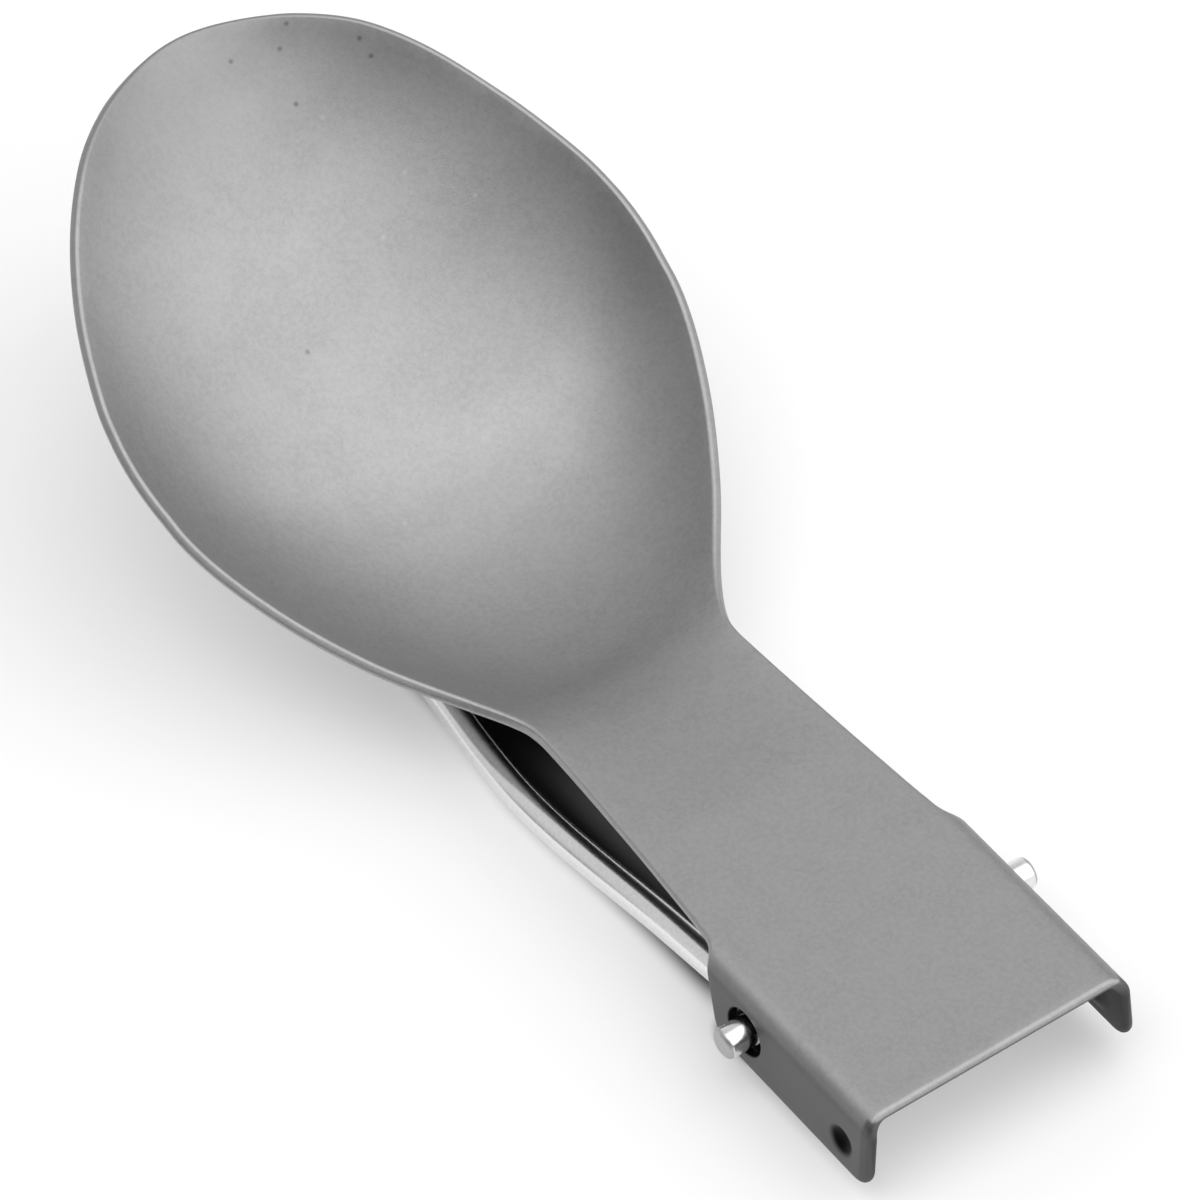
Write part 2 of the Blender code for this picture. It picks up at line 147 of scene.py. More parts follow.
# Counts of points along curves and round sections
CURVE_STEPS = 24
LONG_CURVE_STEPS = 240
EDGE_STEPS = 6
HOLE_SIDES = 72
DIMPLE_SIDES = 36
DIMPLE_RINGS = 12
EASE_SAMPLES = 4
WIRE_STEPS = 12
LOOP_POINTS = 160
BEND_POINTS = 14
ARC_POINTS = 32

# Places worked out from the sizes above, from the tail edge and the plate's top
NECK_PLACE = CHANNEL_LENGTH + NECK_LENGTH
HEAD_LENGTH = NECK_PLACE + BOWL_LENGTH
NECK_REAR_WIDTH = CHANNEL_WIDTH - 2 * SHOULDER_STEP
WIRE_RADIUS = WIRE_DIAMETER / 2
HOLE_RADIUS = WIRE_RADIUS + PIVOT_CLEARANCE
BEND_ANGLE = math.pi / 2 - CHANNEL_FLARE
FLAT_HALF = CHANNEL_WIDTH / 2 - BEND_RADIUS * math.sin(BEND_ANGLE)
BEND_ARC = BEND_RADIUS * BEND_ANGLE
BEND_DROP = BEND_RADIUS * (1 - math.cos(BEND_ANGLE))
WALL_LENGTH = (CHANNEL_DEPTH - BEND_DROP) / math.sin(BEND_ANGLE)
SHEET_HALF = FLAT_HALF + BEND_ARC + WALL_LENGTH
LEG_SPACING = CHANNEL_WIDTH - 2 * (SHEET_THICKNESS + LEG_CLEARANCE) - WIRE_DIAMETER
LEG_DROP = LEG_LENGTH * math.tan(LEG_SLOPE)
LEVEL_DROP = LEG_DROP + (LEVEL_RUN_START - LEG_LENGTH) * math.tan(LEG_SLOPE) / 2
REST_HEIGHT = PIVOT_DROP + LEVEL_DROP + WIRE_RADIUS
FRONT_END = max(HEAD_LENGTH, PIVOT_FROM_TAIL + HANDLE_LENGTH + WIRE_RADIUS)
ORIGIN = Vector(((WALL_OVERHANG - FRONT_END) / 2, 0.0, REST_HEIGHT))
PIVOT = ORIGIN + Vector((PIVOT_FROM_TAIL, 0.0, -PIVOT_DROP))

# Finish of the head: wide clouds, and layers of finer mottling over them. A layer is the
# size and detail of its noise, the stretch of the noise over which it grows, its largest
# share and its tone. Tones are grey levels from 0 to 1
NOISE_ROUGHNESS = 0.6
CLOUD_NOISE = (0.0060, 3.0)
CLOUD_STRETCH = (0.30, 0.70)
CLOUD_COLOURS = ((0.315, 0.315, 0.317), (0.335, 0.335, 0.336))
CLOUD_ROUGHNESS = (0.515, 0.495)
GRAIN_NOISE = (0.00012, 2.0)
GRAIN_HEIGHT = 0.000006
LAYERS = (((0.0018, 3.0), (0.33, 0.67), 0.30, 0.39),
          ((0.0004, 2.0), (0.33, 0.67), 0.45, 0.41),
          (GRAIN_NOISE, (0.25, 0.75), 0.50, 0.41))
# Painted shade toward the tip: places between which the sheet gets darker toward the
# tip, the share of the dark tone and that tone. The painted shade on the walls, their
# inside and the cut edge has the same three
TIP_SHADE_FADE = (0.0790, 0.0905)
TIP_SHADE_SHARE = 0.45
TIP_SHADE_TONE = 0.20
# Painted shade on the folded walls: drops below the plate between which they get darker
WALL_SHADE_FADE = (0.0002, 0.0013)
WALL_SHADE_SHARE = 0.88
WALL_SHADE_TONE = 0.115
# Painted shade inside the walls: distances from the middle plane between which it ends,
# and the drops below the plate at which it starts
WALL_INSIDE = (0.0099, 0.0103)
PLATE_UNDERSIDE = (0.0010, 0.0018)
INSIDE_SHADE_SHARE = 0.9
INSIDE_SHADE_TONE = 0.05
# Painted shade on the lower half of the tail's cut edge: drops below the plate between
# which it gets dark, and places between which that dark ends
CUT_SHADE_FADE = (0.00030, 0.00045)
CUT_SHADE_LENGTH = (0.0003, 0.0007)
CUT_SHADE_SHARE = 0.8
CUT_SHADE_TONE = 0.10
# Painted shade in the bottom of a dimple and in the bore of a hole: place, drop, distance
# inside the wall's outer face, and the distances from that point between which the shade
# fades out
RECESS_SHADES = ((DIMPLE_FROM_TAIL, DIMPLE_DROP, 0.0, (0.00085, 0.00130)),
            (PIVOT_FROM_TAIL, PIVOT_DROP, SHEET_THICKNESS / 2, (0.00176, 0.00188)))
RECESS_SHADE_TONE = 0.005
# Small dark pits and bright spots on the bowl: place, side and tone, and how they fade out
MARKS = ((0.0889, -0.0024, 0.17), (0.0886, -0.0068, 0.17), (0.0879, -0.0057, 0.17),
         (0.0854, -0.0105, 0.17), (0.0844, -0.0107, 0.17), (0.0852, -0.0050, 0.17),
         (0.0741, 0.0023, 0.24), (0.0772, -0.0062, 0.42), (0.0791, -0.0094, 0.42),
         (0.0839, -0.0062, 0.42), (0.0625, 0.0027, 0.42), (0.0756, -0.0127, 0.42))
MARK_FADE = (0.00004, 0.00027)

# Finish of the rod, from one tone and roughness to another over the stretch of its noise
ROD_NOISE = (0.00025, 2.0)
ROD_STRETCH = (0.30, 0.70)
ROD_TONES = (0.79, 0.85)
ROD_ROUGHNESS = (0.16, 0.21)
ROD_GRAIN_HEIGHT = 0.0000012
# Distances from the middle plane between which a pin's cut end gets dull
PIN_CUT = (0.01188, 0.01198)
PIN_CUT_TONE = 0.48
PIN_CUT_ROUGHNESS = 0.3
# Painted shade on the rod where it runs inside each wall at the joint: points ahead of the
# pivot, to its side and above it, and the distances from them between which the shade
# fades out
JOINT_SHADES = (((0.0, 0.0087, 0.0), (0.0015, 0.0018)),
               ((0.0018, 0.0080, -0.0003), (0.0019, 0.0022)))
JOINT_SHADE_TONE = 0.03

# Camera, fitted to the photograph's outline: it aims at a point of the spoon's middle
AIM = ORIGIN + Vector((0.0475, 0.0, 0.0))
CAMERA_DISTANCE = 0.5536
CAMERA_TURN = math.radians(32.156)
CAMERA_RISE = math.radians(46.941)
CAMERA_ROLL = math.radians(-3.733)
PHOTO_SIZE = 1200
FOCAL_PIXELS = 8408.2
AIM_PIXEL = (564.1, 605.75)
SENSOR_WIDTH = 36.0

# Floor
FLOOR_SIZE = 6.0
FLOOR_TONE = 0.91
FLOOR_ROUGHNESS = 0.9
# Share of plain white in what is seen of the floor, directly and in the metal
FLOOR_LIFT = 0.35
# Deep shade on the floor between the handle's legs: its tones in the middle and near
# the legs, the places between which one turns into the other, and the places between
# which the shade fades in behind, fades out ahead and fades out at the sides. They are
# measured from the middle of the folded spoon
SHADE_MIDDLE_TONE = 0.15
SHADE_TONE = 0.015
SHADE_TURN_ALONG = (-0.0120, -0.0020)
SHADE_TURN_ACROSS = (0.0046, 0.0068)
SHADE_REAR = (-0.0350, -0.0265)
SHADE_FRONT = (0.0060, 0.0200)
SHADE_SIDE = (0.0072, 0.0096)
# Shade under each pivot hole: its places and sides, and how it fades out
HINGE_SHADES = ((-0.0322, 0.0080), (-0.0340, 0.0077))
HINGE_SHADE_FADE = (0.0014, 0.0026)

# Soft lamp: the width of its disk, its distance, its direction and its power in watts
KEY_SIZE = 0.73
KEY_DISTANCE = 0.90
KEY_DIRECTION = Vector((-0.050, 0.404, 0.914))
KEY_POWER = 2.77
# The sky's level, and how much it grows toward +X, +Y and +Z
SKY_LEVEL = 0.113
SKY_SLOPE = Vector((0.145, -0.114, -0.325))
SKY_LEAST = 0.03
# Pale band at the horizon, and the sines of the elevations between which it fades out
HORIZON_LEVEL = 0.80
HORIZON_BAND = (0.05, 0.09)
# Two broad soft glows: the direction of the middle, the level, and the cosines of the
# angles from the middle at which it fades in and is full
GLOWS = ((Vector((-0.491, -0.474, 0.731)), 1.74, (0.545, 0.875)),
         (Vector((0.865, 0.045, 0.500)), 0.63, (0.407, 0.743)))


def table_value(shares, share):
    """Read a smooth curve through a table of (place, value) shares."""
    if share <= shares[0][0]:
        return shares[0][1]
    if share >= shares[-1][0]:
        return shares[-1][1]

    def slope(index):
        before = shares[max(index - 1, 0)]
        after = shares[min(index + 1, len(shares) - 1)]
        return (after[1] - before[1]) / (after[0] - before[0])

    index = max(i for i, place in enumerate(shares) if place[0] <= share)
    start, start_value = shares[index]
    end, end_value = shares[index + 1]
    span = end - start
    t = (share - start) / span
    start_slope = slope(index) * span if index > 0 else 0.0
    end_slope = slope(index + 1) * span
    return ((2 * t ** 3 - 3 * t ** 2 + 1) * start_value
            + (t ** 3 - 2 * t ** 2 + t) * start_slope
            + (3 * t ** 2 - 2 * t ** 3) * end_value
            + (t ** 3 - t ** 2) * end_slope)


def mix(start, end, share):
    return start + (end - start) * share


def smooth_step(share):
    share = min(max(share, 0.0), 1.0)
    return share * share * (3 - 2 * share)


# Outline and height of the sheet
def table_half_width(place):
    """Half width of the neck and the bowl at a place, straight from the tables."""
    if place <= NECK_PLACE:
        share = max(place - CHANNEL_LENGTH, 0.0) / NECK_LENGTH
        return mix(NECK_REAR_WIDTH, NECK_WIDTH, table_value(NECK_SHARES, share)) / 2
    along = place - NECK_PLACE
    if along <= WIDEST_PLACE:
        share = table_value(FLANK_SHARES, along / WIDEST_PLACE)
        return mix(NECK_WIDTH, BOWL_WIDTH, share) / 2
    share = min((along - WIDEST_PLACE) / (BOWL_LENGTH - WIDEST_PLACE), 1.0)
    return BOWL_WIDTH / 2 * math.sqrt(1 - share ** 2) * table_value(TIP_SHARES, share)


def edge_half_width(place):
    """Half width of the neck and the bowl at a place, averaged near the widest place."""
    away = abs(place - NECK_PLACE - WIDEST_PLACE) / (2 * WIDEST_EASE)
    if away >= 1:
        return table_half_width(place)
    reach = WIDEST_EASE * (1 - smooth_step(2 * away - 1))
    samples = [table_half_width(place + reach * (i / EASE_SAMPLES - 1))
               for i in range(2 * EASE_SAMPLES + 1)]
    return sum(samples) / len(samples)


def sheet_height(place, side):
    """Height of the upper face over the plate, on circular cross sections."""
    rim = RIM_RISE * table_value(RIM_SHARES, (place - NECK_PLACE) / BOWL_LENGTH)
    hollow_share = (place - NECK_PLACE + HOLLOW_LEAD) / (BOWL_LENGTH + HOLLOW_LEAD)
    depth = BOWL_DEPTH * table_value(DEPTH_SHARES, hollow_share)
    half_width = edge_half_width(place)
    if depth <= 0.0 or side >= half_width:
        return rim
    curvature = 2 * depth / (half_width ** 2 + depth ** 2)
    return rim - depth + curvature * side ** 2 / (1 + math.sqrt(1 - (curvature * side) ** 2))


def bent(side):
    """Side and height of the folded tail at a distance across the flat sheet."""
    if side <= FLAT_HALF:
        return side, 0.0
    if side <= FLAT_HALF + BEND_ARC:
        angle = (side - FLAT_HALF) / BEND_RADIUS
        return FLAT_HALF + BEND_RADIUS * math.sin(angle), BEND_RADIUS * (math.cos(angle) - 1)
    past = side - FLAT_HALF - BEND_ARC
    return CHANNEL_WIDTH / 2 + past * math.cos(BEND_ANGLE), -BEND_DROP - past * math.sin(BEND_ANGLE)


def sheet_point(place, side):
    """Point of the upper face in the neck and the channel."""
    folded_side, folded_height = bent(side)
    fade = 1 - smooth_step((place - CHANNEL_LENGTH) / BEND_FADE)
    height = mix(sheet_height(place, side), folded_height, fade)
    return Vector((place, mix(side, folded_side, fade), height))


def rounded_corner(before, corner, after, radius, count):
    """Points of a flat sheet's corner, rounded between two directions."""
    start = corner + (before - corner).normalized() * radius
    end = corner + (after - corner).normalized() * radius
    points = []
    for i in range(count + 1):
        t = i / count
        points.append(start * (1 - t) ** 2 + corner * 2 * t * (1 - t) + end * t ** 2)
    return points


# Flat pattern of the sheet, as (place, side), for one half
def evenly_spaced(points, step):
    """Points about a step apart along a line of points."""
    lengths = [0.0]
    for near, far in zip(points, points[1:]):
        lengths.append(lengths[-1] + (far - near).length)
    count = max(round(lengths[-1] / step), 1)
    spaced = []
    index = 0
    for i in range(count + 1):
        wanted = lengths[-1] * i / count
        while index < len(points) - 2 and lengths[index + 1] < wanted:
            index += 1
        share = (wanted - lengths[index]) / (lengths[index + 1] - lengths[index])
        spaced.append(points[index].lerp(points[index + 1], min(share, 1.0)))
    return spaced


def sheet_outline():
    """Edge of the half sheet, from the middle of the tail round to the tip."""
    wall_top = Vector((-WALL_OVERHANG, FLAT_HALF + BEND_ARC))
    rear_corner = Vector((-WALL_OVERHANG, SHEET_HALF))
    front_corner = Vector((CHANNEL_LENGTH - WALL_SETBACK, SHEET_HALF))
    shoulder = Vector((CHANNEL_LENGTH, edge_half_width(CHANNEL_LENGTH)))
    neck_ahead = CHANNEL_LENGTH + WALL_FILLET
    ahead = Vector((neck_ahead, edge_half_width(neck_ahead)))
    rear_arc = rounded_corner(wall_top, rear_corner, front_corner, WALL_CORNER, CURVE_STEPS)
    front_arc = rounded_corner(rear_corner, front_corner, shoulder, WALL_CORNER, CURVE_STEPS)
    fillet = rounded_corner(front_corner, shoulder, ahead, WALL_FILLET, CURVE_STEPS)
    points = [Vector((0.0, 0.0))]
    for i in range(CURVE_STEPS):
        share = i / CURVE_STEPS
        place = mix(0.0, -WALL_OVERHANG, smooth_step(2 * share))
        points.append(Vector((place, mix(FLAT_HALF, rear_arc[0].y, share))))
    points += rear_arc + front_arc + fillet
    for i in range(1, LONG_CURVE_STEPS + 1):
        place = mix(neck_ahead, NECK_PLACE + WIDEST_PLACE, i / LONG_CURVE_STEPS)
        points.append(Vector((place, edge_half_width(place))))
    for i in range(1, LONG_CURVE_STEPS + 1):
        share = math.sin(math.pi / 2 * i / LONG_CURVE_STEPS)
        place = mix(NECK_PLACE + WIDEST_PLACE, HEAD_LENGTH, share)
        points.append(Vector((place, edge_half_width(place))))
    return evenly_spaced(points, EDGE_STEP)


def wall_side(drop):
    """Distance across the flat sheet of a place on the wall at a drop below the plate."""
    return FLAT_HALF + BEND_ARC + (drop - BEND_DROP) / math.sin(BEND_ANGLE)


def wall_face(drop):
    """Distance from the middle plane of the wall's outer face at a drop below the plate."""
    return CHANNEL_WIDTH / 2 + (drop - BEND_DROP) / math.tan(BEND_ANGLE)


def circle(middle, radius, count):
    return [middle + Vector((radius * math.cos(2 * math.pi * i / count),
                             radius * math.sin(2 * math.pi * i / count))) for i in range(count)]


def surface(point):
    """Point of the upper face for a point of the flat pattern."""
    return sheet_point(point.x, point.y)


def surface_normal(point):
    along, across = Vector((SURFACE_STEP, 0.0)), Vector((0.0, SURFACE_STEP))
    slope_along = surface(point + along) - surface(point - along)
    slope_across = surface(point + across) - surface(point - across)
    return slope_along.cross(slope_across).normalized()


def edge_rounding(point):
    """Rounding of the sheet's edge, smaller on the bowl than at the tail."""
    share = smooth_step((point.x - CHANNEL_LENGTH) / NECK_LENGTH)
    return mix(EDGE_ROUNDING, RIM_ROUNDING, share)


def rounded_edge(outline, closed, radii):
    """Inner ring of a rounded edge in the flat pattern, and its section at each point.

    The sheet lies to the right of the outline. A section runs from the upper face
    round the edge to the lower face.
    """
    if closed:
        before, after = outline[-1:] + outline[:-1], outline[1:] + outline[:1]
    else:
        before = [Vector((outline[1].x, -outline[1].y))] + outline[:-1]
        after = outline[1:] + [Vector((outline[-2].x, -outline[-2].y))]
    ring = []
    sections = []
    for point, last, following, radius in zip(outline, before, after, radii):
        tangent = (following - last).normalized()
        inward = Vector((tangent.y, -tangent.x))
        near = surface(point + inward * SURFACE_STEP) - surface(point)
        line = (surface(point + tangent * SURFACE_STEP) - surface(point)).normalized()
        across = (near - line * near.dot(line)).length
        inner = point + inward * SURFACE_STEP * radius / across
        normal = surface_normal(inner)
        start = surface(inner)
        outward = surface(point) - start
        outward -= normal * outward.dot(normal)
        outward -= line * outward.dot(line)
        outward.normalize()
        # An open outline starts and ends on the middle plane, and its sections stay there
        if not closed and point in (outline[0], outline[-1]):
            outward.y = 0.0
        section = []
        for top in (True, False):
            for i in range(EDGE_STEPS + 1):
                angle = math.pi / 2 * (i if top else EDGE_STEPS - i) / EDGE_STEPS
                depth = radius * (1 - math.cos(angle))
                drop = depth if top else SHEET_THICKNESS - depth
                section.append(start + outward * radius * math.sin(angle) - normal * drop)
        ring.append(inner)
        sections.append(section)
    return ring, sections


def inside_points(loops, dimple):
    """Points that fill the pattern: an even grid, and finer rings round the dimple."""
    rows = []
    for i in range(int((HEAD_LENGTH + WALL_OVERHANG) / GRID_STEP) + 1):
        shift = GRID_STEP * ROW_SHIFT * (-1) ** i
        for j in range(1, int(BOWL_WIDTH / 2 / GRID_STEP) + 1):
            rows.append((GRID_STEP * i - WALL_OVERHANG, GRID_STEP * j + shift))
    points = np.array(rows)
    inside = np.zeros(len(points), dtype=bool)
    gap = np.full(len(points), GRID_STEP)
    for loop in loops:
        for near, far in zip(loop, loop[1:] + loop[:1]):
            start, step = np.array(near), np.array(far) - np.array(near)
            over = (points[:, 1] < near.y) != (points[:, 1] < far.y)
            if near.y != far.y:
                crossing = start[0] + step[0] * (points[:, 1] - start[1]) / step[1]
                inside ^= over & (points[:, 0] < crossing)
            share = np.clip((points - start) @ step / (step @ step), 0.0, 1.0)
            away = np.linalg.norm(points - start - share[:, None] * step, axis=1)
            gap = np.minimum(gap, away)
    clear = np.linalg.norm(points - np.array(dimple), axis=1) > DIMPLE_SPREAD + GRID_STEP / 2
    chosen = points[inside & (gap > GRID_STEP * EDGE_GAP) & clear]
    filled = [Vector(point) for point in chosen.tolist()]
    filled.append(dimple.copy())
    for i in range(1, DIMPLE_RINGS + 1):
        filled += circle(dimple, DIMPLE_SPREAD * i / DIMPLE_RINGS, DIMPLE_SIDES)
    return filled


# Head
def sheet_mesh():
    """Half of the head's sheet, open along its middle, with rounded edges."""
    hole_middle = Vector((PIVOT_FROM_TAIL, wall_side(PIVOT_DROP)))
    dimple = Vector((DIMPLE_FROM_TAIL, wall_side(DIMPLE_DROP)))
    outline = sheet_outline()
    rim, rim_sections = rounded_edge(outline, False, [edge_rounding(point) for point in outline])
    hole, hole_sections = rounded_edge(circle(hole_middle, HOLE_RADIUS, HOLE_SIDES), True,
                                       [HOLE_ROUNDING] * HOLE_SIDES)
    middle_line = evenly_spaced([rim[-1], rim[0]], GRID_STEP)[1:-1]
    outer = rim + middle_line
    flat = outer + hole + inside_points([outer, hole], dimple)
    loops = [list(range(len(outer))), list(range(len(outer), len(outer) + len(hole)))]
    edges = []
    for loop in loops:
        edges += list(zip(loop, loop[1:] + loop[:1]))
    found = delaunay_2d_cdt([point / FLAT_SCALE for point in flat], edges, [], 1, WELD_SHARE)
    triangles = []
    for face in found[2]:
        corners = [found[3][index][0] for index in face]
        if not all(index in loops[1] for index in corners):
            triangles.append(corners)

    shape = bmesh.new()
    upper = []
    lower = []
    for point in flat:
        normal = surface_normal(point)
        away = (point - dimple).length / DIMPLE_SPREAD
        pressed = (1 - away ** 2) ** 2 if away < 1 else 0.0
        place = surface(point)
        upper.append(shape.verts.new(place - normal * DIMPLE_DEPTH * pressed))
        depth = SHEET_THICKNESS + DIMPLE_BUMP * pressed
        lower.append(shape.verts.new(place - normal * depth))
    for corners in triangles:
        shape.faces.new([upper[index] for index in corners])
        shape.faces.new([lower[index] for index in reversed(corners)])
    for loop, sections, closed in ((loops[0], rim_sections, False), (loops[1], hole_sections, True)):
        strips = []
        for index, section in zip(loop, sections):
            inner = [shape.verts.new(place) for place in section[1:-1]]
            strips.append([upper[index]] + inner + [lower[index]])
        pairs = list(zip(strips, strips[1:]))
        if closed:
            pairs.append((strips[-1], strips[0]))
        for near, far in pairs:
            for k in range(len(near) - 1):
                shape.faces.new((near[k], far[k], far[k + 1], near[k + 1]))
    shape.normal_update()
    mesh = bpy.data.meshes.new("pressed_head")
    shape.to_mesh(mesh)
    shape.free()
    return mesh


def add_object(name, mesh):
    item = bpy.data.objects.new(name, mesh)
    bpy.context.scene.collection.objects.link(item)
    return item


def applied(item):
    """Turn an object with modifiers into a plain mesh object of the same name."""
    graph = bpy.context.evaluated_depsgraph_get()
    mesh = bpy.data.meshes.new_from_object(item.evaluated_get(graph))
    name = item.name
    bpy.data.objects.remove(item, do_unlink=True)
    return add_object(name, mesh)


def make_head(material):
    head = add_object("pressed_head", sheet_mesh())
    mirror = head.modifiers.new("other_half", "MIRROR")
    mirror.use_axis = (False, True, False)
    mirror.use_clip = True
    mirror.merge_threshold = WELD_DISTANCE
    bpy.context.view_layer.update()
    head = applied(head)
    head.location = ORIGIN
    head.data.materials.append(material)
    head.data.shade_smooth()
    return head


# Handle, in a frame with its origin on the pivot
def loop_height(along):
    """Height of the folded loop at a distance ahead of the pivot."""
    slope = math.tan(LEG_SLOPE)
    if along <= LEG_LENGTH:
        return -along * slope
    if along <= LEVEL_RUN_START:
        span = LEVEL_RUN_START - LEG_LENGTH
        past = along - LEG_LENGTH
        return -LEG_DROP - slope * (past - past ** 2 / (2 * span))
    if along <= LEVEL_RUN_END:
        return -LEVEL_DROP
    span = HANDLE_LENGTH - LEVEL_RUN_END
    past = along - LEVEL_RUN_END
    return -LEVEL_DROP + math.tan(END_SLOPE) * past ** 2 / (2 * span)


def loop_half_width(along):
    """Half width of the loop up to where its end arc begins."""
    if along <= LEG_LENGTH:
        return LEG_SPACING / 2
    if along <= LOOP_WIDEST_PLACE:
        share = smooth_step((along - LEG_LENGTH) / (LOOP_WIDEST_PLACE - LEG_LENGTH))
        return mix(LEG_SPACING, HANDLE_WIDTH, share) / 2
    span = HANDLE_LENGTH - END_RADIUS - LOOP_WIDEST_PLACE
    share = table_value(LOOP_SHARES, (along - LOOP_WIDEST_PLACE) / span)
    return mix(END_RADIUS, HANDLE_WIDTH / 2, share)


def half_loop_points():
    """Centre line of one side, from the pin's end to the middle of the loop's end."""
    pin_end = wall_face(PIVOT_DROP) + PIN_REACH
    bend_side = LEG_SPACING / 2 + PIN_BEND_RADIUS
    points = []
    for share, _ in PIN_END_SHARES:
        points.append(Vector((0.0, pin_end - PIN_DOME * share, 0.0)))
    points.append(Vector((0.0, (pin_end - PIN_DOME + bend_side) / 2, 0.0)))
    for i in range(BEND_POINTS + 1):
        angle = math.pi / 2 * i / BEND_POINTS
        along = PIN_BEND_RADIUS * (1 - math.cos(angle))
        side = bend_side - PIN_BEND_RADIUS * math.sin(angle)
        points.append(Vector((along, side, loop_height(along))))
    run_end = HANDLE_LENGTH - END_RADIUS
    for i in range(1, LOOP_POINTS + 1):
        along = mix(PIN_BEND_RADIUS, run_end, i / LOOP_POINTS)
        points.append(Vector((along, loop_half_width(along), loop_height(along))))
    for i in range(1, ARC_POINTS + 1):
        angle = math.pi / 2 * i / ARC_POINTS
        along = run_end + END_RADIUS * math.sin(angle)
        points.append(Vector((along, END_RADIUS * math.cos(angle), loop_height(along))))
    return points


def make_handle(material):
    half = half_loop_points()
    other = [Vector((point.x, -point.y, point.z)) for point in reversed(half[:-1])]
    points = half + other
    curve = bpy.data.curves.new("bent_rod", "CURVE")
    curve.dimensions = "3D"
    curve.bevel_depth = WIRE_RADIUS
    curve.bevel_resolution = WIRE_STEPS
    curve.use_fill_caps = True
    spline = curve.splines.new("POLY")
    spline.points.add(len(points) - 1)
    for point, place in zip(spline.points, points):
        point.co = (*place, 1.0)
    for i, (_, share) in enumerate(PIN_END_SHARES):
        spline.points[i].radius = share
        spline.points[-1 - i].radius = share
    rod = bpy.data.objects.new("bent_rod", curve)
    bpy.context.scene.collection.objects.link(rod)
    bpy.context.view_layer.update()
    rod = applied(rod)
    rod.location = PIVOT
    shape = bmesh.new()
    shape.from_mesh(rod.data)
    bmesh.ops.remove_doubles(shape, verts=shape.verts, dist=WELD_DISTANCE)
    shape.to_mesh(rod.data)
    shape.free()
    rod.data.materials.clear()
    rod.data.materials.append(material)
    rod.data.shade_smooth()
    rod.data.set_sharp_from_angle(angle=SHARP_FROM)
    return rod


# Materials
class Nodes:
    """Short calls for building a material's node tree."""

    def __init__(self, name):
        self.material = bpy.data.materials.new(name)
        self.material.use_nodes = True
        self.tree = self.material.node_tree
        self.shader = self.tree.nodes["Principled BSDF"]
        self.place = self.add("ShaderNodeTexCoord").outputs["Object"]

    def add(self, kind, **values):
        node = self.tree.nodes.new(kind)
        for key, value in values.items():
            setattr(node, key, value)
        return node

    def link(self, output, socket):
        self.tree.links.new(output, socket)

    def noise(self, size, detail):
        """Noise whose features are about a length across."""
        node = self.add("ShaderNodeTexNoise")
        node.inputs["Scale"].default_value = 1.0 / size
        node.inputs["Detail"].default_value = detail
        node.inputs["Roughness"].default_value = NOISE_ROUGHNESS
        self.link(self.place, node.inputs["Vector"])
        return node.outputs["Fac"]

    def axes(self):
        """The place along the piece, the distance from its middle plane and the height."""
        node = self.add("ShaderNodeSeparateXYZ")
        self.link(self.place, node.inputs[0])
        away = self.math("ABSOLUTE", node.outputs["Y"], 0.0)
        return node.outputs["X"], away, node.outputs["Z"]

    def ramp(self, value, low, high, start, end):
        node = self.add("ShaderNodeMapRange", interpolation_type="SMOOTHSTEP")
        node.inputs["From Min"].default_value = low
        node.inputs["From Max"].default_value = high
        node.inputs["To Min"].default_value = start
        node.inputs["To Max"].default_value = end
        self.link(value, node.inputs["Value"])
        return node.outputs["Result"]

    def math(self, operation, first, second):
        node = self.add("ShaderNodeMath", operation=operation)
        for socket, value in zip(node.inputs, (first, second)):
            if isinstance(value, (int, float)):
                socket.default_value = value
            else:
                self.link(value, socket)
        return node.outputs["Value"]

    def near(self, point, inner, outer):
        """1 up to an inner distance from a point of the piece, 0 past an outer one."""
        node = self.add("ShaderNodeVectorMath", operation="DISTANCE")
        node.inputs[1].default_value = point
        self.link(self.place, node.inputs[0])
        return self.ramp(node.outputs["Value"], inner, outer, 1.0, 0.0)

    def mix_colour(self, share, first, second):
        """Mix two colours, each a node's output, three numbers or one grey tone."""
        node = self.add("ShaderNodeMix", data_type="RGBA")
        self.link(share, node.inputs[0])
        for socket, colour in zip((node.inputs[6], node.inputs[7]), (first, second)):
            if isinstance(colour, float):
                colour = (colour, colour, colour)
            if isinstance(colour, tuple):
                socket.default_value = (*colour, 1.0)
            else:
                self.link(colour, socket)
        return node.outputs[2]

    def bump(self, height, distance):
        node = self.add("ShaderNodeBump")
        node.inputs["Distance"].default_value = distance
        self.link(height, node.inputs["Height"])
        return node.outputs["Normal"]


